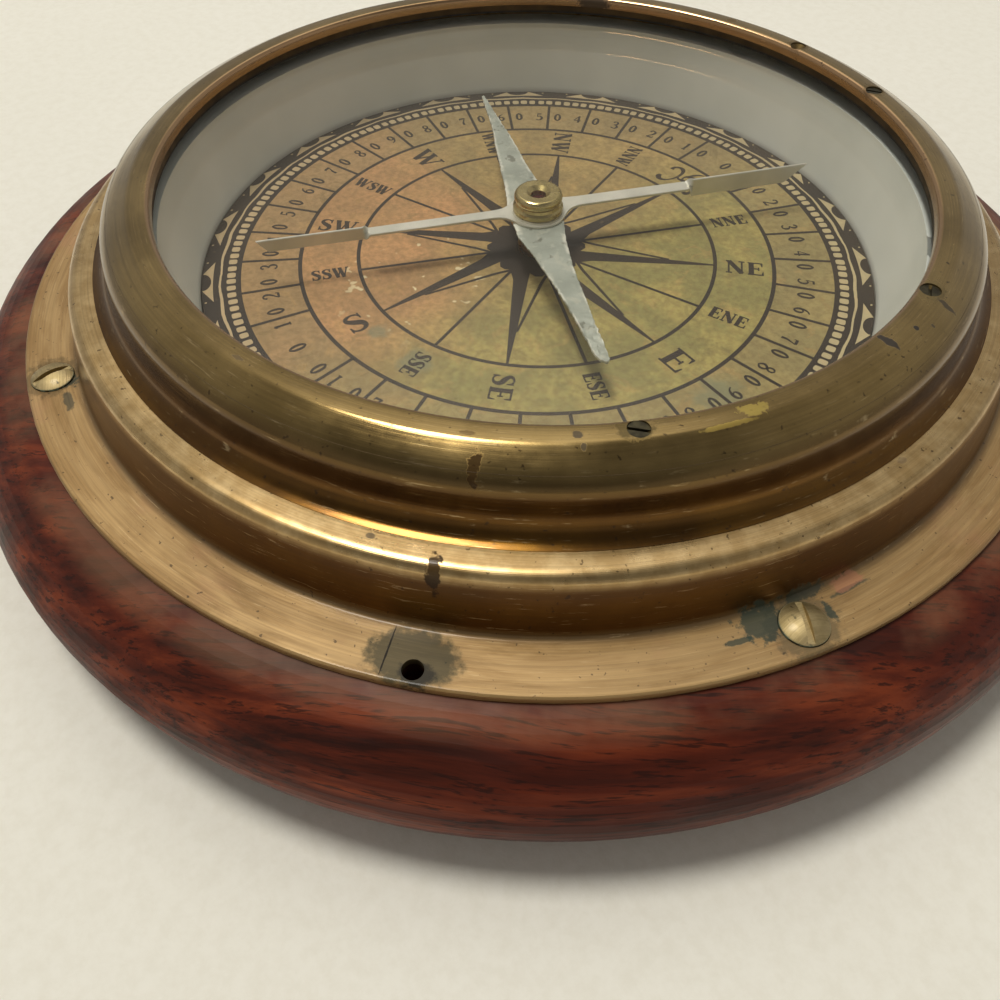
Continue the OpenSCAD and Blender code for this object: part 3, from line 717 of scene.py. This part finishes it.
# Width, and strokes of (x, y, width) in cap heights; those of over two points are smoothed
LETTERS = {
    "N": (0.92, [
        [(0.14, 0, THIN), (0.14, 1, THIN)],
        [(0.14, 0.98, STEM), (0.78, 0.03, STEM)],
        [(0.78, 0, THIN), (0.78, 1, THIN)],
        [(0, 0.97, THIN), (0.24, 0.97, THIN)],
        [(0, 0.03, THIN), (0.3, 0.03, THIN)],
        [(0.62, 0.97, THIN), (0.92, 0.97, THIN)]]),
    "E": (0.8, [
        [(0.2, 0, STEM), (0.2, 1, STEM)],
        [(0.03, 0.97, THIN), (0.74, 0.97, THIN)],
        [(0.03, 0.03, THIN), (0.78, 0.03, THIN)],
        [(0.2, 0.51, THIN), (0.56, 0.51, THIN)],
        [(0.7, 0.98, 0.1), (0.73, 0.7, 0.03)],
        [(0.74, 0.02, 0.1), (0.78, 0.32, 0.03)],
        [(0.56, 0.38, 0.06), (0.56, 0.64, 0.06)]]),
    "S": (0.66, [
        [(0.58, 0.74, 0.05), (0.52, 0.9, 0.07), (0.33, 0.97, 0.07),
         (0.14, 0.88, 0.12), (0.11, 0.72, 0.16), (0.3, 0.55, 0.2),
         (0.5, 0.42, 0.2), (0.56, 0.24, 0.16), (0.46, 0.08, 0.11),
         (0.28, 0.03, 0.07), (0.12, 0.1, 0.07), (0.06, 0.28, 0.05)],
        [(0.58, 0.68, 0.05), (0.58, 1.0, 0.05)],
        [(0.06, 0, 0.05), (0.06, 0.32, 0.05)]]),
    "W": (1.2, [
        [(0.12, 0.98, 0.18), (0.38, 0, 0.18)],
        [(0.38, 0, THIN), (0.62, 0.98, THIN)],
        [(0.54, 0.98, 0.18), (0.82, 0, 0.18)],
        [(0.82, 0, THIN), (1.08, 0.98, THIN)],
        [(0, 0.97, THIN), (0.28, 0.97, THIN)],
        [(0.42, 0.97, THIN), (0.72, 0.97, THIN)],
        [(0.96, 0.97, THIN), (1.2, 0.97, THIN)]]),
    "0": (0.42, [[(0.21, 0, 0.1), (0.36, 0.22, 0.14), (0.39, 0.5, 0.15),
                  (0.36, 0.78, 0.14), (0.21, 1, 0.1), (0.06, 0.78, 0.14),
                  (0.03, 0.5, 0.15), (0.06, 0.22, 0.14), (0.21, 0, 0.1)]]),
    "1": (0.24, [[(0.14, 0, 0.14), (0.14, 1, 0.14)],
                 [(0, 0.84, 0.05), (0.14, 0.98, 0.12)],
                 [(0, 0.03, 0.07), (0.28, 0.03, 0.07)]]),
    "2": (0.5, [[(0.04, 0.76, 0.12), (0.12, 0.96, 0.1), (0.3, 0.98, 0.1),
                 (0.43, 0.8, 0.15), (0.36, 0.52, 0.12), (0.14, 0.22, 0.08),
                 (0.03, 0.05, 0.08)],
                [(0.02, 0.06, 0.12), (0.48, 0.06, 0.12)],
                [(0.46, 0.02, 0.06), (0.5, 0.24, 0.05)]]),
    "3": (0.46, [[(0.05, 0.82, 0.12), (0.14, 0.98, 0.09), (0.3, 0.97, 0.1),
                  (0.38, 0.8, 0.14), (0.3, 0.6, 0.1), (0.16, 0.52, 0.07)],
                 [(0.16, 0.52, 0.07), (0.34, 0.46, 0.1), (0.44, 0.26, 0.15),
                  (0.36, 0.04, 0.1), (0.16, 0, 0.08), (0.03, 0.12, 0.12)]]),
    "4": (0.5, [[(0.36, 0, 0.13), (0.36, 1, 0.13)],
                [(0.34, 0.98, 0.06), (0.03, 0.32, 0.06)],
                [(0.02, 0.3, 0.08), (0.52, 0.3, 0.08)]]),
    "5": (0.46, [[(0.1, 0.5, 0.06), (0.12, 0.96, 0.06)],
                 [(0.1, 0.93, 0.12), (0.42, 0.95, 0.1)],
                 [(0.1, 0.5, 0.06), (0.26, 0.6, 0.08), (0.42, 0.46, 0.13),
                  (0.43, 0.22, 0.14), (0.28, 0.02, 0.1), (0.1, 0.02, 0.08),
                  (0.03, 0.14, 0.12)]]),
    "6": (0.46, [[(0.42, 0.94, 0.06), (0.2, 0.8, 0.09), (0.07, 0.5, 0.14),
                  (0.08, 0.18, 0.14), (0.24, 0, 0.09), (0.4, 0.14, 0.13),
                  (0.42, 0.38, 0.13), (0.28, 0.54, 0.08), (0.1, 0.42, 0.06)]]),
    "7": (0.46, [[(0.02, 0.92, 0.14), (0.44, 0.92, 0.14)],
                 [(0.44, 0.92, 0.05), (0.3, 0.6, 0.08), (0.2, 0.3, 0.13),
                  (0.2, 0, 0.15)],
                 [(0.03, 0.98, 0.05), (0.01, 0.74, 0.04)]]),
    "8": (0.46, [[(0.23, 0.55, 0.08), (0.08, 0.68, 0.1), (0.09, 0.9, 0.1),
                  (0.24, 1, 0.08), (0.38, 0.88, 0.1), (0.36, 0.66, 0.1),
                  (0.1, 0.42, 0.13), (0.04, 0.2, 0.13), (0.22, 0, 0.08),
                  (0.42, 0.16, 0.12), (0.38, 0.42, 0.12), (0.23, 0.55, 0.08)]]),
    "9": (0.46, [[(0.04, 0.06, 0.06), (0.26, 0.2, 0.09), (0.39, 0.5, 0.14),
                  (0.38, 0.82, 0.14), (0.22, 1, 0.09), (0.06, 0.86, 0.13),
                  (0.04, 0.62, 0.13), (0.18, 0.46, 0.08), (0.36, 0.58, 0.06)]]),
}
# The ornate north mark, (along, up, width) in millimetres from its middle
NORTH_MARK = [
    [(-1.9, 4.7, 0.5), (-2.6, 4.6, 1.0), (-3.0, 3.8, 0.75), (-2.4, 2.9, 0.4),
     (-1.2, 2.45, 0.35), (0.2, 2.4, 0.45), (1.6, 2.8, 0.6), (2.4, 3.6, 0.8),
     (2.3, 4.5, 0.6), (1.7, 5.0, 0.5), (0.9, 4.9, 0.8)],
    [(0.1, 2.5, 0.3), (-0.4, 1.7, 0.5), (-0.2, 0.9, 0.8), (-0.4, -0.4, 0.9),
     (-0.9, -1.8, 0.7), (-1.8, -2.6, 0.5), (-2.7, -2.4, 0.9), (-2.6, -1.7, 0.6)],
    [(-0.2, 1.2, 0.3), (0.8, 1.5, 0.35), (1.6, 1.0, 0.8), (1.8, -0.4, 0.9),
     (2.0, -1.8, 0.7), (2.6, -2.4, 0.35), (3.5, -2.0, 0.3)],
    [(1.4, 1.2, 0.3), (2.4, 1.0, 0.5), (3.4, 0.5, 0.4), (4.0, -0.2, 0.25)],
]


def write(sheet, text, size, centre, along, gap=0.12, weight=1.0, wide=1.0):
    """Letters size mm high on a straight line through centre; along is the
    reading direction and the letters' tops lie to its left."""
    up = (-along[1], along[0])
    total = sum(LETTERS[c][0] for c in text) + gap * (len(text) - 1)
    start = -total / 2
    for letter in text:
        width, strokes = LETTERS[letter]
        for points in strokes:
            points = curve(points) if len(points) > 2 else points
            placed = []
            for x, y, _ in points:
                u, v = (start + x) * size * wide, (y - 0.5) * size
                placed.append((centre[0] + u * along[0] + v * up[0],
                               centre[1] + u * along[1] + v * up[1]))
            sheet.line(placed, [p[2] * size * weight for p in points])
        start += width + gap


STAR_R = 28.77
NUMBER_R = (38.0, 47.16)
HEART_R = 9.3
NAMES = ["N", "NNE", "NE", "ENE", "E", "ESE", "SE", "SSE",
         "S", "SSW", "SW", "WSW", "W", "WNW", "NW", "NNW"]
# Height of the letters, and width of a line of them against the plain letters
NAME_SIZE = {1: (4.0, 1.2), 2: (3.2, 1.0), 3: (2.5, 0.84)}


def print_star(sheet):
    """Eight long points, dark on one side and open on the other, with thin
    lines between them."""
    heart = [polar(360 * i / 48, 8.0 if i % 3 else 7.2) for i in range(48)]
    sheet.outline(heart)
    for i in range(8):
        b = 45 * i
        axis = polar(b, 1)
        side = polar(b + 90, 1)

        def at(r, s):
            return (axis[0] * r + side[0] * s, axis[1] * r + side[1] * s)

        sheet.outline([at(5, 0), at(7.4, 3.0), at(HEART_R, 2.3), at(28.7, 0.22),
                       at(28.7, -0.1), at(20, -0.16)])
        sheet.line([at(6.6, -2.9), at(HEART_R, -2.2), at(21.5, -0.2)], [0.5, 0.5, 0.4])
        b += 22.5
        sheet.line([polar(b, 5), polar(b, STAR_R)], [0.5, 0.5])


def print_names(sheet):
    for i, name in enumerate(NAMES):
        b = 22.5 * i
        out = polar(b, 1)
        centre = polar(b, 33.4)
        if name == "N":
            for stroke in NORTH_MARK:
                points = curve(stroke, 8)
                sheet.line([(centre[0] - p[1], centre[1] + p[0]) for p in points],
                           [p[2] for p in points])
            continue
        along = out if b < 180 else (-out[0], -out[1])
        size, wide = NAME_SIZE[len(name)]
        write(sheet, name, size, centre, along, wide=wide, weight=1.3)


def print_numbers(sheet):
    for b in range(0, 360, 10):
        value = 90 - abs(90 - b % 180)
        along = polar(b + 90, 1)
        if value:
            sheet.line([polar(b, NUMBER_R[0]), polar(b, NUMBER_R[1] + 0.2)], [0.52, 0.52])
            pairs = [(str(value)[0], -2.4), (str(value)[1], 2.4)]
        else:
            pairs = [("0", 0)]
        for digit, turn in pairs:
            centre = polar(b + turn, 42.9)
            write(sheet, digit, 2.5, centre, polar(b + turn + 90, 1), weight=1.25)


def print_border(sheet, cream):
    """The dark edge with its cream blocks, wavy line and scallops."""
    rng = random.Random(11)
    sheet.ring(NUMBER_R[1], CARD_R)
    for i in range(180):
        b = 2 * i + rng.uniform(-0.12, 0.12)
        half = 0.72 + rng.uniform(-0.06, 0.04)
        inner, outer = 47.92 + rng.uniform(-0.04, 0.06), 49.34 + rng.uniform(-0.06, 0.04)
        shape = []
        for k in range(12):
            t = 2 * math.pi * k / 12
            u = abs(math.cos(t)) ** 0.5 * (1 if math.cos(t) >= 0 else -1)
            v = abs(math.sin(t)) ** 0.5 * (1 if math.sin(t) >= 0 else -1)
            shape.append(polar(b + half * u, (inner + outer) / 2 + (outer - inner) / 2 * v))
        cream.outline(shape)
    left, right = [], []
    for i in range(720):
        b = i / 2
        wave = 0.09 * math.sin(math.radians(b * 43)) + rng.uniform(-0.03, 0.03)
        half = 0.2 + 0.05 * math.sin(math.radians(b * 17))
        left.append(polar(b, 50.3 + wave - half))
        right.append(polar(b, 50.3 + wave + half))
    cream.strip(left, right, closed=True)
    periods = 22
    step = 360 / periods
    for i in range(periods):
        b = step * (i + 0.5)
        inside, outside = [], []
        for k in range(17):
            t = k / 16
            phi = math.pi * t
            outside.append(polar(b - 0.14 * step * math.cos(phi),
                                 CARD_R - 0.06 - 1.35 * math.sin(phi)))
            inside.append(polar(b + 0.345 * step * (2 * t - 1), 51.42))
        inside[0] = polar(b - 0.345 * step, 51.42)
        cream.strip(inside, outside)
        for side in (-1, 1):
            dot = polar(b + step / 2 + side * 0.16 * step, 52.6)
            cream.outline([(dot[0] + 0.16 * math.cos(t), dot[1] + 0.2 * math.sin(t))
                           for t in (0.2, 1.3, 2.4, 3.4, 4.6, 5.5)])


ink_sheet = Print("card_print", CARD_TOP - 0.005)
cream_sheet = Print("card_border", CARD_TOP + 0.02)
ink_sheet.ring(STAR_R - 0.3, STAR_R + 0.3)
ink_sheet.ring(NUMBER_R[0] - 0.32, NUMBER_R[0] + 0.32)
print_star(ink_sheet)
print_names(ink_sheet)
print_numbers(ink_sheet)
print_border(ink_sheet, cream_sheet)
ink_sheet.build(ink())
cream_sheet.build(card_paper("border_paper", 0.45))


# Needle and crossbar, in the needle's own frame: u toward its point, v to the left

NEEDLE_TURN = Matrix.Rotation(math.radians(158.5), 4, "Z")
NEEDLE_Z = level("needle", 0)
STRIP_T = 0.4
NECK_R = 2.2
# The blade's outline: u and its two edges' v
BLADE = [(-35.2, 0.0, 0.35), (-34.7, -0.3, 1.0), (-33.4, -0.45, 1.45), (-31, -0.5, 1.55),
         (-28, -0.55, 1.75), (-25, -0.75, 1.95), (-21, -1.0, 2.25), (-18, -1.15, 2.6),
         (-14, -1.45, 3.1), (-10, -2.0, 3.65), (-8, -2.25, 4.1), (-5.5, -2.8, 4.6),
         (-3.5, -3.3, 4.5), (0, -3.6, 4.4), (3, -3.3, 4.1), (5, -3.0, 3.75),
         (8, -2.6, 3.25), (10, -2.35, 3.0), (15, -1.95, 2.4), (20, -1.9, 1.8),
         (22.5, -1.75, 1.5), (25, -1.65, 1.05), (28, -1.3, 0.7), (32, -1.05, 0.4),
         (36, -0.85, 0.15), (39.4, -0.5, -0.1)]
# The crossbar's outline: v and its two edges' u
BAR = [(-25.2, 0.15, 2.5), (-16, 0.05, 2.5), (-7.3, 0, 2.5), (-6.3, -0.15, 2.55),
       (-5.4, -0.5, 2.6), (-4.7, -1.1, 2.75), (-4.1, -1.9, 3.0), (-3.6, -2.6, 3.3),
       (-2.9, -3.45, 3.75), (-2, -4.1, 4.25), (-1, -4.45, 4.6), (0, -4.55, 4.7),
       (1, -4.5, 4.6), (2, -4.2, 4.25), (3, -3.6, 3.6), (3.7, -2.9, 3.0),
       (4.2, -2.2, 2.55), (4.8, -1.45, 2.1), (5.4, -0.95, 1.85), (6.2, -0.6, 1.7),
       (7.2, -0.45, 1.62), (16, -0.45, 1.6), (26.3, -0.45, 1.55)]


def between(table, at):
    """The row of a table at a place between two of its rows."""
    for low, high in zip(table, table[1:]):
        if at <= high[0]:
            t = (at - low[0]) / (high[0] - low[0])
            return [a + (b - a) * t for a, b in zip(low, high)]
    return list(table[-1])


def loft(name, sections, finish, hole):
    """A closed mesh through equally long sections (mm), on the needle's body."""
    count = len(sections[0])
    points = [p for section in sections for p in section]
    faces = [tuple(range(count)), tuple(range(len(points) - 1, len(points) - count - 1, -1))]
    rim = {0, 1, count // 2 - 2, count // 2 - 1}
    for i in range(len(sections) - 1):
        for k in range(count):
            a, b = i * count + k, i * count + (k + 1) % count
            faces.append((a, b, b + count, a + count))
    mesh = new_mesh(name, [NEEDLE_TURN @ (Vector(p) * MM) for p in points], faces)
    fix_normals(mesh)
    edge = mesh.attributes.new("edge", "FLOAT", "POINT")
    edge.data.foreach_set("value", [float(k % count in rim) for k in range(len(points))])
    piece = add_object(name, mesh)
    drill(piece, [(0, 0, hole)])
    clothe(piece, finish, "needle_assembly")
    return piece


def turned(profile, segments, x=0.0, y=0.0, hollow=False):
    """Points (m) and faces of a round solid through (radius, height) in mm. A
    hollow one's profile runs back to its start, and the others have two ends."""
    points, faces = [], []
    rows = len(profile)
    for r, z in profile:
        for k in range(segments):
            t = 2 * math.pi * k / segments
            points.append(((x + r * math.cos(t)) * MM, (y + r * math.sin(t)) * MM, z * MM))
    for i in range(rows if hollow else rows - 1):
        a, b = i * segments, (i + 1) % rows * segments
        for k in range(segments):
            m = (k + 1) % segments
            faces.append((a + k, a + m, b + m, b + k))
    if not hollow:
        faces += [tuple(range(segments))[::-1],
                  tuple(range(len(points) - segments, len(points)))]
    return points, faces


def drill(piece, holes):
    """Cuts round holes, each (x, y, profile), out of a piece."""
    points, faces = [], []
    for x, y, profile in holes:
        more, sides = turned(profile, 48, x, y)
        faces += [tuple(i + len(points) for i in side) for side in sides]
        points += more
    cutter = add_object("cutter", new_mesh("cutter", points, faces))
    cut = piece.modifiers.new("hole", "BOOLEAN")
    cut.operation = "DIFFERENCE"
    cut.object = cutter
    cut.solver = "EXACT"
    bpy.context.view_layer.update()
    evaluated = piece.evaluated_get(bpy.context.evaluated_depsgraph_get())
    piece.data = bpy.data.meshes.new_from_object(evaluated)
    piece.modifiers.clear()
    bpy.data.objects.remove(cutter)


def clothe(piece, finish, body):
    """One finish, smooth faces with crisp edges, and the body it rides on."""
    mesh = piece.data
    cover(mesh, finish)
    mesh.polygons.foreach_set("use_smooth", [True] * len(mesh.polygons))
    mesh.set_sharp_from_angle(angle=math.radians(28))
    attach(piece, body)


def nick(u, broad, fine):
    """How far (mm) an edge of the blade strays at u; broad and fine tell edges apart."""
    return (0.13 * noise.noise(Vector((u * 2.3, broad, 0)))
            + 0.1 * noise.noise(Vector((u * 6, fine, 0))))


def make_blade():
    """The painted needle: nicked along its edges and dented toward its ends."""
    sections = []
    steps = 320
    low, high = BLADE[0][0], BLADE[-1][0]
    columns = [0, 0.03, 0.12, 0.3, 0.5, 0.7, 0.88, 0.97, 1]
    for i in range(steps + 1):
        u = low + (high - low) * i / steps
        _, a, b = between(BLADE, u)
        a += nick(u, 3.1, 8)
        b += nick(u, 9.7, 2)
        battered = max(0.0, min(1.0, (abs(u - 1.5) - 20) / 10))
        flat = max(0.0, min(1.0, (abs(u) - 5.2) / 1.5))
        top, bottom = [], []
        for k, share in enumerate(columns):
            v = a + (b - a) * share
            edge = k in (0, len(columns) - 1)
            bumps = noise.noise(Vector((u * 1.1, v * 1.6, 5))) * 0.22
            bumps += noise.noise(Vector((u * 3.4, v * 4, 1))) * 0.1
            lift = flat * (0.03 + battered) * bumps
            sag = -0.25 * battered * max(0.0, -(u + 25) / 10)
            height = NEEDLE_Z + STRIP_T + lift + sag - (0.09 if edge else 0)
            top.append((u, v, height))
            bottom.append((u, v, NEEDLE_Z + lift + sag + (0.06 if edge else 0)))
        sections.append(top + bottom[::-1])
    blade = loft("needle_blade", sections, finishes["needle"],
                 [(NECK_R, NEEDLE_Z - 1), (NECK_R, NEEDLE_Z + 1)])
    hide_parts("needle")


def bar_section(v, near, far, turn=0.0, slant=0.0, tall=1.0):
    """The strip's section at v, its far edge turned up by turn (radians); slant
    shifts a vane's upper edge along, tall lets its lower edge hang further down."""
    middle, half, thick, edge = (near + far) / 2, (far - near) / 2, STRIP_T / 2, 0.08
    z = NEEDLE_Z + 1.5 * STRIP_T
    shape = [(-half, -thick + edge), (-half + edge, -thick), (0, -thick), (half - edge, -thick),
             (half, -thick + edge), (half, thick - edge), (half - edge, thick), (0, thick),
             (-half + edge, thick), (-half, thick - edge)]
    c, s = math.cos(turn), math.sin(turn)
    shape = [(p if p > 0 else p * tall, q) for p, q in shape]
    return [(middle + p * c - q * s, v + slant * p / half, z + p * s + q * c)
            for p, q in shape]


def quarter_turn(t):
    """A smooth quarter turn, in radians, as t runs from 0 to 1."""
    return math.pi / 2 * (t * t * (3 - 2 * t))


def make_bar():
    """The crossbar: a flat strip with a ring at the pivot; each end makes a
    quarter turn and stands upright as a vane cut off at a slant."""
    sections = []
    half, tall = 1.075, 1.7
    turning = [i / 9 for i in range(10)]
    for v, u in [(-45.2, 1.55), (-40, 1.5), (-33, 1.42), (-27, 1.34)]:
        slant = -1.3 if v < -45 else 0.0
        sections.append(bar_section(v, u - half, u + half, math.pi / 2, slant, tall))
    for t in turning:
        sections.append(bar_section(-26.6 + 1.2 * t, 1.34 - half, 1.34 + half,
                                    quarter_turn(1 - t), tall=tall - 0.7 * t))
    for low, high in zip(BAR, BAR[1:]):
        steps = max(1, int((high[0] - low[0]) / 0.35)) if abs(low[0]) < 7.5 else 4
        for i in range(steps):
            v, near, far = between([low, high], low[0] + (high[0] - low[0]) * i / steps)
            sections.append(bar_section(v, near, far))
    for t in turning:
        sections.append(bar_section(26.4 + 1.1 * t, -0.45, 1.55, quarter_turn(t)))
    for v, u in [(28, 0.56), (34, 0.6), (40, 0.62), (42.5, 0.6)]:
        slant = 0.8 if v > 42 else 0.0
        sections.append(bar_section(v, u - 1, u + 1, math.pi / 2, slant))
    bar = loft("crossbar_strip", sections, finishes["crossbar"],
               [(NECK_R, NEEDLE_Z), (NECK_R, NEEDLE_Z + 2)])
    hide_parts("crossbar")


# The bezel's section (r, z): foot, cove, wall, round corner, slope, flat rim, lip, inside
BEZEL = [(62.1, 29.92), (64.5, 29.92), (64.55, 30.33), (66.1, 30.33), (66.1, 30.37),
         (65.5, 30.47), (64.9, 30.7), (64.35, 31.1), (63.95, 31.65), (63.65, 32.4),
         (63.45, 33.3), (63.34, 34.4), (63.28, 35.2), (63.22, 35.75), (63.1, 36.2),
         (62.9, 36.6), (62.65, 36.93), (62.3, 37.27), (61.9, 37.57), (61.4, 37.88),
         (60.8, 38.2), (60.2, 38.49), (59.6, 38.77), (59.15, 38.97), (58.9, 39.075),
         (58.7, 39.145), (58.5, 39.185), (58.3, 39.2), (56.4, 39.2), (56.13, 39.15),
         (55.9, 38.99), (55.75, 38.77), (55.7, 38.5), (55.7, 37.6), (61.2, 37.6), (62.1, 36.6)]
RIM_RING = 57.25
RIM_SCREWS = (-26.7, 19.2, 73.3, 91.8)
RIM_HOLE = [(0.7, 37.0), (0.7, 38.4), (1.3, 39.0), (1.3, 39.8)]


def make_bezel():
    """The turned bezel, with a countersunk hole for each of its screws."""
    mesh = new_mesh("bezel_turned", *turned(BEZEL, 320, hollow=True))
    fix_normals(mesh)
    bezel = add_object("bezel_turned", mesh)
    drill(bezel, [(RIM_RING * math.cos(math.radians(a)), RIM_RING * math.sin(math.radians(a)),
                   RIM_HOLE) for a in RIM_SCREWS])
    clothe(bezel, finishes["bezel_cap"], "housing")
    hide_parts("bezel_cap")


make_blade()
make_bar()
make_bezel()


# Floor and light

def make_floor():
    f = Finish("floor", Roughness=0.9)
    grain = f.noise(420, detail=6, rough=0.7)
    broad = f.noise(9, detail=3)
    paper = f.mix(f.span(broad, 0.3, 0.7), srgb(242, 239, 227), srgb(246, 243, 232))
    f.set("Base Color", f.mix(f.span(grain, 0.35, 0.7, 0, 0.25), paper, srgb(222, 216, 198)))
    f.set("Normal", f.bump(grain, 0.12, 0.5))
    reach = 6
    mesh = new_mesh("floor", [(-reach, -reach, 0), (reach, -reach, 0), (reach, reach, 0),
                              (-reach, reach, 0)], [(0, 1, 2, 3)])
    cover(mesh, f)
    floor = add_object("floor", mesh)


def make_lamp(name, bearing, height, away, size, watts, colour):
    data = bpy.data.lights.new(name, "AREA")
    data.shape = "DISK"
    data.size = size
    data.energy = watts
    data.color = colour
    lamp = add_object(name, data)
    lamp.location = toward(bearing, height) * away
    lamp.rotation_euler = lamp.location.to_track_quat("Z", "Y").to_euler()


def make_world():
    """A pale room: lit from ahead and above, dimmer where someone leans over."""
    world = bpy.data.worlds.new("world")
    bpy.context.scene.world = world
    world.use_nodes = True
    tree = world.node_tree
    way = tree.nodes.new("ShaderNodeTexCoord").outputs["Generated"]

    def lobe(direction, wide, narrow, amount):
        """amount inside narrow degrees of a direction, nothing beyond wide."""
        dot = tree.nodes.new("ShaderNodeVectorMath")
        dot.operation = "DOT_PRODUCT"
        tree.links.new(way, dot.inputs[0])
        dot.inputs[1].default_value = direction
        span = tree.nodes.new("ShaderNodeMapRange")
        span.interpolation_type = "SMOOTHSTEP"
        tree.links.new(dot.outputs["Value"], span.inputs["Value"])
        span.inputs["From Min"].default_value = math.cos(math.radians(wide))
        span.inputs["From Max"].default_value = math.cos(math.radians(narrow))
        span.inputs["To Max"].default_value = amount
        return span.outputs[0]

    def join(operation, a, b):
        made = tree.nodes.new("ShaderNodeMath")
        made.operation = operation
        for socket, value in ((made.inputs[0], a), (made.inputs[1], b)):
            if isinstance(value, float):
                socket.default_value = value
            else:
                tree.links.new(value, socket)
        return made.outputs[0]

    bright = join("ADD", lobe(toward(-6, 58), wide=25, narrow=8, amount=1.0), 0.4)
    shade = join("SUBTRACT", 1.0, lobe(toward(180, 66), wide=56, narrow=26, amount=0.6))
    back = tree.nodes["Background"]
    back.inputs["Color"].default_value = (1.0, 0.97, 0.905, 1)
    tree.links.new(join("MULTIPLY", bright, shade), back.inputs["Strength"])


make_floor()
make_world()
make_lamp("key", bearing=-56, height=75, away=2.2, size=0.66, watts=26.8,
          colour=(1.0, 0.97, 0.9))
bpy.context.scene.view_settings.view_transform = "Standard"
